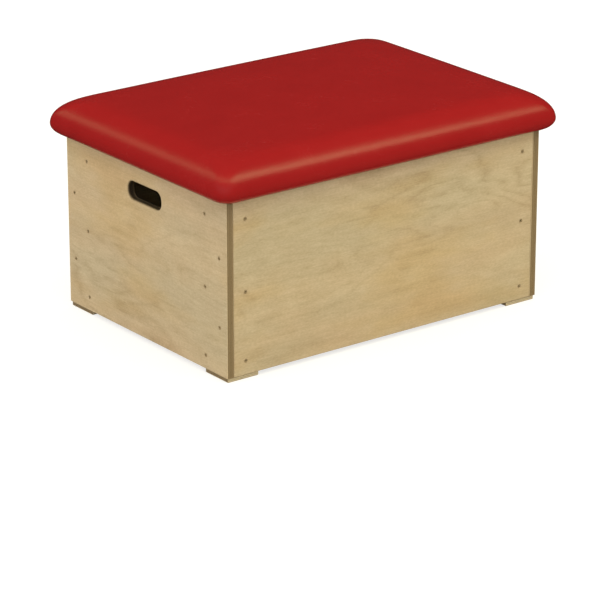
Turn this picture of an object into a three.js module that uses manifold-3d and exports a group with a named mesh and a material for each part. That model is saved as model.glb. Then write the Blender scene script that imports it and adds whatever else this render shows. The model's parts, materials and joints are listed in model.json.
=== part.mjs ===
// A single-section vaulting box: a screwed plywood carcass on four corner feet,
// with corner posts, top rails and a bearer inside, and an upholstered top.
// Millimetres, +Z up. The origin is on the floor under the middle of the box,
// +X runs along its length and +Y across its width.

import * as THREE from 'three';
import { mergeVertices } from 'three/addons/utils/BufferGeometryUtils.js';
import Module from 'manifold-3d';

const wasm = await Module();
wasm.setup();

// Fits
const seatGap = 0.3;
const cutOverrun = 5;

// Plywood carcass
const bodyLength = 1000;
const bodyWidth = 700;
const panelHeight = 458;
const plyThickness = 21;
const plyEdgeEase = 1.2;

// Corner feet
const footWidth = 93;
const footThickness = 12;
const footInset = 4;
const footEdgeEase = 1.5;
const footScrewEdge = 24;

// Corner posts, with one long edge planed off towards the inside of the box
const postAlong = 70;
const postAcross = 80;
const postChamfer = 14;

// Top rails and the bearer under the middle of the board
const railWidth = 45;
const railHeight = 28;
const bearerWidth = 45;
const bearerHeight = 70;
const timberEdgeEase = 2;

// Hand hole in each end panel
const handHoleLength = 145;
const handHoleHeight = 48;
const handHoleCornerRadius = 21;
const handHoleDrop = 74;
const handHoleEdgeRound = 4;
const handHoleRoundSteps = 3;
const handHoleArcSteps = 8;

// Wood screws through the panels into the posts
const screwLength = 50;
const screwShankRadius = 2.3;
const screwHeadRadius = 5;
const screwHeadHeight = 2.8;
const screwHeadRim = 0.5;
const screwPointLength = 6;
const screwHeadSink = 0.4;
const screwSides = 14;
const screwClearance = 0.3;
const postScrewEdge = 10;

// Screw heights up the panel, in columns of three and of two
const columnOfThreeShares = [0.08, 0.475, 0.888];
const columnOfTwoShares = [0.277, 0.671];

// Board under the pad
const boardThickness = 18;
const boardOverhang = 14;
const boardCornerRadius = 34;
const boardEdgeRound = 3;

// Padded top, measured over the cover
const padOverhang = 42;
const padCornerRadius = 45;
const padRimRadius = 12;
const underRun = 26;
const underRise = 40;
const noseRun = 85;
const noseRise = 50;
const crownHeight = 15;
const coverThickness = 1.5;
const hemWidth = 62;
const hemCornerRadius = 20;

// How finely the pad's surface is divided
const underSteps = 3;
const noseSteps = 5;
const crownRingShares = [0.72, 0.4];
const padCornerSteps = 5;
const padLongSteps = 5;
const padShortSteps = 4;

// Levels and half sizes that follow from the sizes above
const halfLength = bodyLength / 2;
const halfWidth = bodyWidth / 2;
const panelBottom = footThickness + seatGap;
const bodyTop = panelBottom + panelHeight;
const coverBottom = bodyTop + seatGap;
const boardBottom = coverBottom + coverThickness + seatGap;
const padHalfLength = halfLength + padOverhang;
const padHalfWidth = halfWidth + padOverhang;
const foamDepth = coverThickness + seatGap;
const hemReach = underRun + hemWidth;
const carcassInnerX = halfLength - plyThickness - seatGap;
const carcassInnerY = halfWidth - plyThickness - seatGap;
const postInnerX = carcassInnerX - postAlong;
const postInnerY = carcassInnerY - postAcross;

// Finishes
const birchFace = new THREE.MeshStandardMaterial({ color: '#c2ab80', roughness: 0.55, metalness: 0 });
const softwood = new THREE.MeshStandardMaterial({ color: '#c9a873', roughness: 0.7, metalness: 0 });
const footWood = new THREE.MeshStandardMaterial({ color: '#a98f63', roughness: 0.65, metalness: 0 });
const boardWood = new THREE.MeshStandardMaterial({ color: '#b99f74', roughness: 0.65, metalness: 0 });
const foam = new THREE.MeshStandardMaterial({ color: '#e4dcc0', roughness: 0.95, metalness: 0 });
const redVinyl = new THREE.MeshStandardMaterial({ color: '#9c201e', roughness: 0.42, metalness: 0 });
const zincSteel = new THREE.MeshStandardMaterial({ color: '#b8b5aa', roughness: 0.38, metalness: 1 });

const box = new THREE.Group();

// A solid from a closed geometry, and a geometry back from a solid.
function toSolid(geometry) {
  const bare = geometry.clone();
  bare.deleteAttribute('normal');
  bare.deleteAttribute('uv');
  const merged = mergeVertices(bare);
  const mesh = new wasm.Mesh({
    numProp: 3,
    vertProperties: new Float32Array(merged.attributes.position.array),
    triVerts: new Uint32Array(merged.index.array),
  });
  return new wasm.Manifold(mesh);
}

function toGeometry(solid) {
  const mesh = solid.getMesh();
  const geometry = new THREE.BufferGeometry();
  geometry.setAttribute('position', new THREE.BufferAttribute(new Float32Array(mesh.vertProperties), 3));
  geometry.setIndex(new THREE.BufferAttribute(new Uint32Array(mesh.triVerts), 1));
  geometry.computeVertexNormals();
  return geometry;
}

function subtractAll(geometry, cutters) {
  let solid = toSolid(geometry);
  for (const cutter of cutters) {
    solid = solid.subtract(toSolid(cutter));
  }
  return toGeometry(solid);
}

// A mesh whose geometry is drawn about its own middle and placed by its position.
function place(parent, name, geometry, material, x, y, z) {
  const mesh = new THREE.Mesh(geometry, material);
  mesh.name = name;
  mesh.position.set(x, y, z);
  parent.add(mesh);
  return mesh;
}

function roundedRectangle(width, height, radius) {
  const x = width / 2;
  const y = height / 2;
  const shape = new THREE.Shape();
  shape.moveTo(radius - x, -y);
  shape.absarc(x - radius, radius - y, radius, -Math.PI / 2, 0);
  shape.absarc(x - radius, y - radius, radius, 0, Math.PI / 2);
  shape.absarc(radius - x, y - radius, radius, Math.PI / 2, Math.PI);
  shape.absarc(radius - x, radius - y, radius, Math.PI, 1.5 * Math.PI);
  return shape;
}

function polygon(points) {
  return new THREE.Shape(points.map(([x, y]) => new THREE.Vector2(x, y)));
}

function rectangle(width, height) {
  const x = width / 2;
  const y = height / 2;
  return polygon([[-x, -y], [x, -y], [x, y], [-x, y]]);
}

// A board cut to an outline, its arrises eased, with its thickness centred on the outline's plane.
function easedBoard(outline, thickness, ease, curveSegments = 1) {
  const geometry = new THREE.ExtrudeGeometry(outline, {
    depth: thickness - 2 * ease,
    bevelEnabled: true,
    bevelThickness: ease,
    bevelSize: ease,
    bevelOffset: -ease,
    bevelSegments: 1,
    curveSegments,
  });
  geometry.translate(0, 0, ease - thickness / 2);
  return geometry;
}

// Stands an outline up: its own x runs across the box or along it, its own y points up.
function standAcross(geometry) {
  return geometry.rotateX(Math.PI / 2).rotateZ(Math.PI / 2);
}

function standAlong(geometry) {
  return geometry.rotateX(Math.PI / 2);
}

// A closed skin through rings of equally many points, from a first pole to a last one.
// Each four-sided field is split along its shorter diagonal.
function skinThroughRings(firstPole, rings, lastPole) {
  const count = rings[0].length;
  const points = [firstPole, ...rings.flat(), lastPole];
  const last = points.length - 1;
  const index = [];
  const at = (ring, i) => 1 + ring * count + (i % count);
  for (let i = 0; i < count; i++) {
    index.push(0, at(0, i + 1), at(0, i));
    index.push(last, at(rings.length - 1, i), at(rings.length - 1, i + 1));
  }
  for (let ring = 0; ring + 1 < rings.length; ring++) {
    for (let i = 0; i < count; i++) {
      const [a, b, c, d] = [at(ring, i), at(ring, i + 1), at(ring + 1, i + 1), at(ring + 1, i)];
      if (points[a].distanceTo(points[c]) <= points[b].distanceTo(points[d])) {
        index.push(a, b, c, a, c, d);
      } else {
        index.push(a, b, d, b, c, d);
      }
    }
  }
  const geometry = new THREE.BufferGeometry();
  geometry.setFromPoints(points);
  geometry.setIndex(index);
  geometry.computeVertexNormals();
  return geometry;
}

// A level ring of points round a rectangle with round corners, counterclockwise from above.
function rectangleRing(halfX, halfY, radius, z, steps) {
  const ring = [];
  const corners = [[1, 1, 0], [-1, 1, 1], [-1, -1, 2], [1, -1, 3]];
  corners.forEach(([signX, signY, quarter], corner) => {
    const centreX = signX * (halfX - radius);
    const centreY = signY * (halfY - radius);
    for (let i = 0; i <= steps.corner; i++) {
      const angle = (quarter + i / steps.corner) * Math.PI / 2;
      ring.push(new THREE.Vector3(centreX + radius * Math.cos(angle), centreY + radius * Math.sin(angle), z));
    }
    const [nextSignX, nextSignY, nextQuarter] = corners[(corner + 1) % corners.length];
    const start = ring[ring.length - 1];
    const angle = nextQuarter * Math.PI / 2;
    const end = new THREE.Vector3(
      nextSignX * (halfX - radius) + radius * Math.cos(angle),
      nextSignY * (halfY - radius) + radius * Math.sin(angle),
      z,
    );
    const parts = quarter % 2 === 0 ? steps.long : steps.short;
    for (let i = 1; i < parts; i++) {
      ring.push(start.clone().lerp(end, i / parts));
    }
  });
  return ring;
}

// Screws. Each is drawn with its head at the origin and its point towards -Z.
function screwGeometry(clearance, headOverrun) {
  const shank = screwShankRadius + clearance;
  const head = screwHeadRadius + clearance;
  const tip = -screwLength - clearance;
  const profile = [
    [0, tip],
    [shank, tip + screwPointLength],
    [shank, -screwHeadHeight - clearance],
    [head, -screwHeadRim - clearance],
    [head, headOverrun],
    [0, headOverrun],
  ];
  const geometry = new THREE.LatheGeometry(profile.map(([r, z]) => new THREE.Vector2(r, z)), screwSides);
  return geometry.rotateX(Math.PI / 2);
}

function screwPlaces() {
  const heights = (shares) => shares.map((share) => panelBottom + share * panelHeight);
  const innerColumn = postInnerY + postScrewEdge;
  const outerColumn = carcassInnerY - postScrewEdge;
  const sideColumn = (carcassInnerX + postInnerX) / 2;
  const places = [];
  for (const [endName, endSign] of [['left', -1], ['right', 1]]) {
    for (const [sideName, sideSign] of [['front', -1], ['back', 1]]) {
      const corner = `${endName}_${sideName}`;
      const endColumns = [[innerColumn, heights(columnOfThreeShares)], [outerColumn, heights(columnOfTwoShares)]];
      let number = 1;
      for (const [y, zs] of endColumns) {
        for (const z of zs) {
          places.push({
            name: `end_screw_${corner}_${number}`,
            corner,
            panel: endName,
            position: new THREE.Vector3(endSign * (halfLength - screwHeadSink), sideSign * y, z),
            outward: new THREE.Vector3(endSign, 0, 0),
          });
          number += 1;
        }
      }
      heights(columnOfThreeShares).forEach((z, i) => {
        places.push({
          name: `side_screw_${corner}_${i + 1}`,
          corner,
          panel: sideName,
          position: new THREE.Vector3(endSign * sideColumn, sideSign * (halfWidth - screwHeadSink), z),
          outward: new THREE.Vector3(0, sideSign, 0),
        });
      });
    }
  }
  return places;
}

const screws = screwPlaces();
const alongZ = new THREE.Vector3(0, 0, 1);

// The holes of the chosen screws, as cutters about the middle of the piece that they pass through.
function screwCutters(chosen, x, y, z) {
  return chosen.map((screw) => {
    const cutter = screwGeometry(screwClearance, cutOverrun);
    cutter.applyQuaternion(new THREE.Quaternion().setFromUnitVectors(alongZ, screw.outward));
    return cutter.translate(screw.position.x - x, screw.position.y - y, screw.position.z - z);
  });
}

function addScrews() {
  const group = new THREE.Group();
  for (const screw of screws) {
    const { x, y, z } = screw.position;
    const mesh = place(group, screw.name, screwGeometry(0, 0), zincSteel, x, y, z);
    mesh.quaternion.setFromUnitVectors(alongZ, screw.outward);
  }
  box.add(group);
}

// Carcass
function handHoleCutter() {
  const steps = { corner: handHoleArcSteps, long: 1, short: 1 };
  const half = plyThickness / 2;
  const ring = (spread, depth) => rectangleRing(
    handHoleLength / 2 + spread,
    handHoleHeight / 2 + spread,
    handHoleCornerRadius + spread,
    depth,
    steps,
  );
  const rounding = [];
  for (let i = 0; i <= handHoleRoundSteps; i++) {
    const angle = (i / handHoleRoundSteps) * Math.PI / 2;
    rounding.push([handHoleEdgeRound * (1 - Math.sin(angle)), half - handHoleEdgeRound * (1 - Math.cos(angle))]);
  }
  const outer = half + cutOverrun;
  const rings = [ring(handHoleEdgeRound, -outer)];
  rounding.forEach(([spread, depth]) => rings.push(ring(spread, -depth)));
  rounding.reverse().forEach(([spread, depth]) => rings.push(ring(spread, depth)));
  rings.push(ring(handHoleEdgeRound, outer));
  const skin = skinThroughRings(new THREE.Vector3(0, 0, -outer), rings, new THREE.Vector3(0, 0, outer));
  return standAcross(skin);
}

function addEndPanels() {
  const z = panelBottom + panelHeight / 2;
  const x = halfLength - plyThickness / 2;
  for (const [name, sign] of [['left', -1], ['right', 1]]) {
    const blank = standAcross(easedBoard(rectangle(bodyWidth, panelHeight), plyThickness, plyEdgeEase));
    const holeHeight = panelHeight / 2 - handHoleDrop;
    const hole = handHoleCutter().translate(0, 0, holeHeight);
    const own = screws.filter((screw) => screw.panel === name);
    const cut = subtractAll(blank, [hole, ...screwCutters(own, sign * x, 0, z)]);
    place(box, `end_panel_${name}`, cut, birchFace, sign * x, 0, z);
  }
}

function addSidePanels() {
  const length = 2 * carcassInnerX;
  const z = panelBottom + panelHeight / 2;
  const y = halfWidth - plyThickness / 2;
  for (const [name, sign] of [['front', -1], ['back', 1]]) {
    const blank = standAlong(easedBoard(rectangle(length, panelHeight), plyThickness, plyEdgeEase));
    const own = screws.filter((screw) => screw.panel === name);
    const cut = subtractAll(blank, screwCutters(own, 0, sign * y, z));
    place(box, `side_panel_${name}`, cut, birchFace, 0, sign * y, z);
  }
}

function addCorners() {
  const footMiddle = footInset + footWidth / 2;
  for (const [endName, endSign] of [['left', -1], ['right', 1]]) {
    for (const [sideName, sideSign] of [['front', -1], ['back', 1]]) {
      const corner = `${endName}_${sideName}`;
      const postX = endSign * (carcassInnerX + postInnerX) / 2;
      const postY = sideSign * (carcassInnerY + postInnerY) / 2;
      const postZ = panelBottom + panelHeight / 2;
      const x = postAlong / 2;
      const y = postAcross / 2;
      const section = [[x, y], [-x, y], [-x, postChamfer - y], [postChamfer - x, -y], [x, -y]];
      const turned = section.map(([px, py]) => [endSign * px, sideSign * py]);
      const outline = endSign * sideSign > 0 ? turned : turned.reverse();
      const post = easedBoard(polygon(outline), panelHeight, timberEdgeEase);
      const own = screws.filter((screw) => screw.corner === corner);
      const drilled = subtractAll(post, screwCutters(own, postX, postY, postZ));
      place(box, `corner_post_${corner}`, drilled, softwood, postX, postY, postZ);

      const foot = easedBoard(rectangle(footWidth, footWidth), footThickness, footEdgeEase);
      place(
        box,
        `corner_foot_${corner}`,
        subtractAll(foot, footScrewHoles(endSign * sideSign)),
        footWood,
        endSign * (halfLength - footMiddle),
        sideSign * (halfWidth - footMiddle),
        footThickness / 2,
      );
    }
  }
}

// Two countersunk holes on a diagonal, drawn from the underside of a foot.
function footScrewHoles(diagonal) {
  const reach = footWidth / 2 - footScrewEdge;
  return [-1, 1].map((end) => {
    const hole = screwGeometry(screwClearance, cutOverrun).rotateX(Math.PI);
    return hole.translate(end * reach, -diagonal * end * reach, screwHeadSink - footThickness / 2);
  });
}

function addTopFrame() {
  const railZ = bodyTop - railHeight / 2;
  const longRail = 2 * (postInnerX - seatGap);
  const shortRail = 2 * (postInnerY - seatGap);
  const seatInset = seatGap + railWidth / 2;
  for (const [name, sign] of [['front', -1], ['back', 1]]) {
    const rail = standAcross(easedBoard(rectangle(railWidth, railHeight), longRail, timberEdgeEase));
    place(box, `top_rail_${name}`, rail, softwood, 0, sign * (carcassInnerY + seatGap - seatInset), railZ);
  }
  for (const [name, sign] of [['left', -1], ['right', 1]]) {
    const rail = standAlong(easedBoard(rectangle(railWidth, railHeight), shortRail, timberEdgeEase));
    place(box, `top_rail_${name}`, rail, softwood, sign * (carcassInnerX + seatGap - seatInset), 0, railZ);
  }

  const reach = carcassInnerY;
  const top = bearerHeight / 2;
  const notchY = reach - railWidth - seatGap;
  const notchZ = top - railHeight - seatGap;
  const outline = polygon([
    [-reach, -top],
    [reach, -top],
    [reach, notchZ],
    [notchY, notchZ],
    [notchY, top],
    [-notchY, top],
    [-notchY, notchZ],
    [-reach, notchZ],
  ]);
  const bearer = standAcross(easedBoard(outline, bearerWidth, timberEdgeEase));
  place(box, 'centre_bearer', bearer, softwood, 0, 0, bodyTop - top);
}

// Padded top. Depth is how far a surface lies beneath the outside of the cover.
const padSteps = { corner: padCornerSteps, long: padLongSteps, short: padShortSteps };

function crownAt(x, y) {
  return crownHeight * (1 - (x / padHalfLength) ** 2) * (1 - (y / padHalfWidth) ** 2);
}

function padRing(inset, shrink, rise, crownShare) {
  const rounding = 1 - inset / noseRun;
  const radius = padRimRadius + (padCornerRadius - padRimRadius) * rounding;
  const ring = rectangleRing(
    padHalfLength - inset - shrink,
    padHalfWidth - inset - shrink,
    radius - shrink,
    coverBottom + rise,
    padSteps,
  );
  for (const point of ring) {
    point.z += crownShare * crownAt(point.x, point.y);
  }
  return ring;
}

// Rings from the flat underside, round the nose and up to the crown.
function padRings(depth) {
  const rings = [];
  for (let i = 0; i <= underSteps; i++) {
    const angle = (i / underSteps) * Math.PI / 2;
    const normal = new THREE.Vector2(Math.sin(angle) / underRun, -Math.cos(angle) / underRise).normalize();
    const inset = underRun * (1 - Math.sin(angle));
    const rise = underRise * (1 - Math.cos(angle)) - depth * normal.y;
    rings.push(padRing(inset, depth * normal.x, rise, 0));
  }
  for (let i = 1; i <= noseSteps; i++) {
    const angle = (i / noseSteps) * Math.PI / 2;
    const normal = new THREE.Vector2(Math.cos(angle) / noseRun, Math.sin(angle) / noseRise).normalize();
    const inset = noseRun * (1 - Math.cos(angle));
    const rise = underRise + noseRise * Math.sin(angle) - depth * normal.y;
    rings.push(padRing(inset, depth * normal.x, rise, Math.sin(angle)));
  }
  const rim = rings[rings.length - 1];
  for (const share of crownRingShares) {
    rings.push(rim.map((point) => {
      const x = share * point.x;
      const y = share * point.y;
      return new THREE.Vector3(x, y, padCrownLevel(depth) + crownAt(x, y));
    }));
  }
  return rings;
}

function padCrownLevel(depth) {
  return coverBottom + underRise + noseRise - depth;
}

function padPole(depth) {
  return new THREE.Vector3(0, 0, padCrownLevel(depth) + crownAt(0, 0));
}

function hemRing(z) {
  return rectangleRing(padHalfLength - hemReach, padHalfWidth - hemReach, hemCornerRadius, z, padSteps);
}

function addPaddedTop() {
  const boardLength = bodyLength + 2 * boardOverhang;
  const boardWidth = bodyWidth + 2 * boardOverhang;
  const boardOutline = roundedRectangle(boardLength, boardWidth, boardCornerRadius);
  const board = easedBoard(boardOutline, boardThickness, boardEdgeRound, padCornerSteps);
  place(box, 'top_board', board, boardWood, 0, 0, boardBottom + boardThickness / 2);

  const pocketOutline = roundedRectangle(
    boardLength + 2 * seatGap,
    boardWidth + 2 * seatGap,
    boardCornerRadius + seatGap,
  );
  const pocketTop = boardBottom + boardThickness + seatGap;
  const pocket = new THREE.ExtrudeGeometry(pocketOutline, {
    depth: pocketTop - coverBottom + cutOverrun,
    bevelEnabled: false,
    curveSegments: padCornerSteps,
  });
  pocket.translate(0, 0, coverBottom - cutOverrun);
  const foamFloor = new THREE.Vector3(0, 0, boardBottom);
  const block = skinThroughRings(foamFloor, padRings(foamDepth), padPole(foamDepth));
  place(box, 'foam_core', subtractAll(block, [pocket]), foam, 0, 0, 0);

  const inside = padRings(coverThickness).reverse();
  const outside = padRings(0);
  const cover = skinThroughRings(
    padPole(coverThickness),
    [...inside, hemRing(coverBottom + coverThickness), hemRing(coverBottom), ...outside],
    padPole(0),
  );
  place(box, 'vinyl_cover', cover, redVinyl, 0, 0, 0);
}

addEndPanels();
addSidePanels();
addCorners();
addTopFrame();
addPaddedTop();
addScrews();

export default box;
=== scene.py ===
import json
import math
from functools import partial
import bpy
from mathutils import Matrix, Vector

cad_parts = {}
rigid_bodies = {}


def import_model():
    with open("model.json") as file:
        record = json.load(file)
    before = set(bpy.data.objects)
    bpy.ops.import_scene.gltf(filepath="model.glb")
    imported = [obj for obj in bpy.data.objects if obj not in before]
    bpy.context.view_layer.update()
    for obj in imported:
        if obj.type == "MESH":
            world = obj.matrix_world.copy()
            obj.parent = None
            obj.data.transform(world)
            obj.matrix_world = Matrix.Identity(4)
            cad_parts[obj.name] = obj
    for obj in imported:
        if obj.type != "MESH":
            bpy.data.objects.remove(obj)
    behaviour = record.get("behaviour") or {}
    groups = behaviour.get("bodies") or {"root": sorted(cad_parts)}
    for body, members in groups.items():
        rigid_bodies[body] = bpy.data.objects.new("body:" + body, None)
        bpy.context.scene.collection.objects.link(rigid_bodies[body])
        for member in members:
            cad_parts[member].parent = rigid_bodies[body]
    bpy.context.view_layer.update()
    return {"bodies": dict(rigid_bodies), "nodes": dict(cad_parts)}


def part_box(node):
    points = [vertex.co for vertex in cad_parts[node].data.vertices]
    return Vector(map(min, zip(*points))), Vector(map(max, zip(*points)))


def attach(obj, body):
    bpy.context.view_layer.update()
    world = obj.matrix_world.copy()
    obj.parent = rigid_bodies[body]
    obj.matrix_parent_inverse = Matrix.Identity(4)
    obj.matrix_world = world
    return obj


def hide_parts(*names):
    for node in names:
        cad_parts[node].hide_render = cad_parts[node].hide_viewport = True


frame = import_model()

from types import SimpleNamespace

import bmesh
import bpy
import numpy as np
from bpy.props import BoolProperty, FloatProperty, FloatVectorProperty, IntProperty, PointerProperty
from mathutils import Matrix, Vector

bl_info = {
    "name": "Vaulting Box",
    "version": (1, 0, 0),
    "blender": (4, 5, 0),
    "location": "3D View > Sidebar > Vaulting Box",
    "description": "Plywood, timber, screws and an upholstered top for a vaulting box",
    "category": "Object",
}

BODY = "root"
LENGTHWAYS = (1, 0, 0)
CROSSWAYS = (0, 1, 0)
UPRIGHT = (0, 0, 1)

CORNERS = [f"{end}_{side}" for end in ("left", "right") for side in ("front", "back")]
FEET = [f"corner_foot_{corner}" for corner in CORNERS]
POSTS = [f"corner_post_{corner}" for corner in CORNERS]
PANEL_SCREWS = sorted(name for name in frame["nodes"] if "_screw_" in name)

COVER_LOW, COVER_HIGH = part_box("vinyl_cover")
BOARD_LOW, BOARD_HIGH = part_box("top_board")


# Settings

def number(label, text, default, **limits):
    return FloatProperty(name=label, description=text, default=default, **{"min": 0, **limits})


def length(label, text, default):
    return number(label, text, default, precision=4, unit="LENGTH")


def angle(label, text, degrees):
    return FloatProperty(name=label, description=text, default=math.radians(degrees), subtype="ANGLE")


def count(label, text, default, **limits):
    return IntProperty(name=label, description=text, default=default, **limits)


def colour(label, text, default):
    return FloatVectorProperty(
        name=label, description=text, default=default, size=3, min=0, max=1, subtype="COLOR"
    )


class PaddedTopSettings(bpy.types.PropertyGroup):
    """Sizes and colours of the upholstered top"""

    corner_radius: length("Corner radius", "Plan radius at the widest line of the pad", 0.0365)
    rim_radius: length("Rim radius", "Plan radius where the nose meets the top", 0.14)
    corner_pull: length("Corner pull", "How much tighter the corners are half way up the nose", 0.025)
    nose_run: length("Nose run", "How far the upper curve reaches inwards", 0.083)
    nose_rise: length("Nose rise", "Height of the upper curve", 0.0705)
    under_run: length("Under run", "How far the lower curve reaches inwards", 0.0325)
    under_rise: length("Under rise", "Height of the lower curve", 0.029)
    crown: length("Crown", "Rise of the top from its edge to its middle", 0.0065)
    hem_reach: length("Hem reach", "From the widest line to the hem's inner edge", 0.088)
    cover_thickness: length("Cover thickness", "Thickness of the coated fabric", 0.0015)
    stretch_room: length("Stretch room", "How much smaller than the pad the cover is cut", 0.0014)
    foam_depth: length("Foam depth", "How far the foam lies beneath the pad's outside", 0.0036)
    swell_limit: length("Swell limit", "The most that a point of the cover moves as it fills", 0.0022)
    pressure: number("Pressure", "How hard the foam pushes the cover outwards", 4.0)
    pleat_depth: length("Pleat depth", "Depth of the folds under the corners", 0.0014)
    pleats: count("Pleats", "Folds under each corner", 7, min=0, max=15)
    vinyl_colour: colour("Vinyl", "Colour of the coated fabric", (0.333, 0.0092, 0.0086))
    foam_colour: colour("Foam", "Colour of the upholstery foam", (0.78, 0.71, 0.52))


class TimberSettings(bpy.types.PropertyGroup):
    """Veneer, layers and solid wood"""

    pale_veneer: colour("Pale veneer", "Lightest birch of the panels", (0.69, 0.532, 0.318))
    brown_veneer: colour("Brown veneer", "Darkest grain of the panels", (0.39, 0.262, 0.122))
    pale_layer: colour("Pale layer", "Plies cut along the grain", (0.66, 0.49, 0.255))
    dark_layer: colour("Dark layer", "Plies cut across the grain", (0.165, 0.1, 0.04))
    softwood_pale: colour("Pale softwood", "Early growth of posts and rails", (0.62, 0.45, 0.24))
    softwood_dark: colour("Dark softwood", "Late growth of posts and rails", (0.37, 0.2, 0.08))
    panel_layers: count("Panel layers", "Plies in a panel", 15, min=3)
    hole_height: length("Hole height", "Middle of the hand holes above the floor", 0.3963)
    board_layers: count("Board layers", "Plies in the board", 13, min=3)
    foot_layers: count("Foot layers", "Plies in a foot", 7, min=3)
    ring_width: length("Ring width", "Width of a growth ring", 0.0032)


class ScrewSettings(bpy.types.PropertyGroup):
    """Countersunk wood screws"""

    head_width: length("Head width", "Diameter of the head", 0.01)
    rim_height: length("Rim height", "Straight edge of the head", 0.0005)
    cone_height: length("Cone height", "Countersunk part of the head", 0.0028)
    shank_width: length("Shank width", "Diameter of the core under the head", 0.0046)
    panel_screw: length("Panel screw", "Length of the panel screws", 0.05)
    foot_screw: length("Foot screw", "Length of the foot screws", 0.035)
    rail_screw: length("Rail screw", "Length of the screws through the rails", 0.06)
    board_screw: length("Board screw", "Length of the screws up into the board", 0.04)
    thread_depth: length("Thread depth", "How far the thread stands out", 0.0004)
    thread_pitch: length("Thread pitch", "Distance from turn to turn", 0.003)
    recess_width: length("Recess width", "Width of the cross recess", 0.006)
    recess_depth: length("Recess depth", "Depth of the cross recess", 0.0022)
    zinc: colour("Zinc", "Colour of the plating", (0.56, 0.4, 0.21))


class StudioSettings(bpy.types.PropertyGroup):
    """Camera and light"""

    azimuth: angle("Azimuth", "Camera's turn about the box", -37.13)
    elevation: angle("Elevation", "Camera's height as an angle", 20.35)
    distance: length("Distance", "From the aim point to the camera", 8.6608)
    aim: FloatVectorProperty(
        name="Aim", description="Point in the middle of the image", default=(-0.0112, 0, 0.0083),
        subtype="TRANSLATION",
    )
    lens: number("Lens", "Focal length in millimetres", 197.91, min=1)
    light_turn: angle("Light turn", "Turn of the front light from the camera", -19)
    front: number("Front", "Light from the camera's side", 0.7)
    key: number("Key", "Further light from the camera's side, half way up", 1.3)
    rear: number("Rear", "Light from the far side", 0.58)
    zenith: number("Zenith", "Light from overhead", 0.77)
    bounce: number("Bounce", "Share of its light that the floor gives back", 0.57, max=1)
    reflected: number("Reflected", "Share of the surroundings that glossy surfaces mirror", 0.05, max=1)
    softboxes: number("Softboxes", "Power of the softboxes, before each one's share", 80)
    show_floor: BoolProperty(name="Floor", description="Whether a floor is laid", default=True)


SETTINGS = {
    "padded_top": PaddedTopSettings,
    "timber": TimberSettings,
    "screws": ScrewSettings,
    "studio": StudioSettings,
}


# Node trees

class Field:
    """A number in a node tree, so that a rule is written as plain arithmetic; true is 1 and false is 0"""

    def __init__(self, tree, source):
        self.tree = tree
        self.source = source

    def reckon(self, operation, *others, clamped=False):
        node = self.tree.nodes.new("ShaderNodeMath")
        node.operation = operation
        node.use_clamp = clamped
        for place, value in enumerate((self, *others)):
            feed(self.tree, node.inputs[place], value)
        return Field(self.tree, node)

    def __add__(self, other):
        return self.reckon("ADD", other)

    def __sub__(self, other):
        return self.reckon("SUBTRACT", other)

    def __rsub__(self, other):
        return self.reckon("MULTIPLY_ADD", -1, other)

    def __mul__(self, other):
        return self.reckon("MULTIPLY", other)

    def __truediv__(self, other):
        return self.reckon("DIVIDE", other)

    def __pow__(self, other):
        return self.reckon("POWER", other)

    def __gt__(self, other):
        return self.reckon("GREATER_THAN", other)

    def __lt__(self, other):
        return self.reckon("LESS_THAN", other)

    def __abs__(self):
        return self.reckon("ABSOLUTE")

    __radd__ = __add__
    __rmul__ = __mul__

    def fraction(self):
        return self.reckon("FRACT")

    def at_least(self, other):
        return self.reckon("MAXIMUM", other)

    def at_most(self, other):
        return self.reckon("MINIMUM", other)

    def kept_in(self):
        """The number, held from 0 to 1"""
        return self.reckon("ADD", 0, clamped=True)

    def ramp(self, start, end):
        """Grows from 0 at the start to 1 at the end"""
        return ((self - start) / (end - start)).kept_in()


def feed(tree, socket, value):
    """Gives an input a plain value, a link, or a link to a node's first output"""
    if isinstance(value, Field):
        value = value.source
    if isinstance(value, bpy.types.Node):
        value = value.outputs[0]
    if isinstance(value, bpy.types.NodeSocket):
        tree.links.new(value, socket)
    else:
        socket.default_value = value


def add(tree, kind, inputs=None, **settings):
    """A node with its settings made and its inputs fed, by name or by number"""
    node = tree.nodes.new(kind)
    for key, value in settings.items():
        setattr(node, key, value)
    for key, value in (inputs or {}).items():
        feed(tree, node.inputs[key], value)
    return node


def split(tree, vector):
    parts = add(tree, "ShaderNodeSeparateXYZ", {0: vector})
    return [Field(tree, parts.outputs[axis]) for axis in range(3)]


def joined(tree, x, y, z):
    return add(tree, "ShaderNodeCombineXYZ", {0: x, 1: y, 2: z})


def vector_math(tree, operation, first, second=(0, 0, 0)):
    return add(tree, "ShaderNodeVectorMath", {0: first, 1: second}, operation=operation)


def as_setting(label):
    return label.lower().replace(" ", "_")


def as_label(setting):
    return setting.replace("_", " ").title()


def by_name(tree, sockets):
    """What sockets carry, under the names that settings would have"""
    return SimpleNamespace(**{as_setting(socket.name): Field(tree, socket) for socket in sockets})


def tree_with(kind, name, takes, gives):
    """An empty tree with named inputs and outputs, and its inputs to reckon with"""
    tree = bpy.data.node_groups.new(name, kind)
    for label, (socket_type, default) in takes.items():
        socket = tree.interface.new_socket(label, in_out="INPUT", socket_type=socket_type)
        if default is not None:
            socket.default_value = default
    for label, socket_type in gives.items():
        tree.interface.new_socket(label, in_out="OUTPUT", socket_type=socket_type)
    return tree, by_name(tree, tree.nodes.new("NodeGroupInput").outputs)


def effect_with(name, takes, gives):
    """A shader tree on a vector, with the given inputs besides it"""
    return tree_with("ShaderNodeTree", name, {"Vector": (VECTOR, None), **takes}, gives)


def give(tree, **results):
    """Links results to a tree's outputs and returns the tree"""
    leave = tree.nodes.new("NodeGroupOutput")
    for label, value in results.items():
        feed(tree, leave.inputs[label], value)
    return tree


def once(name, build):
    """The tree of this name, built at its first use"""
    return bpy.data.node_groups.get(name) or build()


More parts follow.
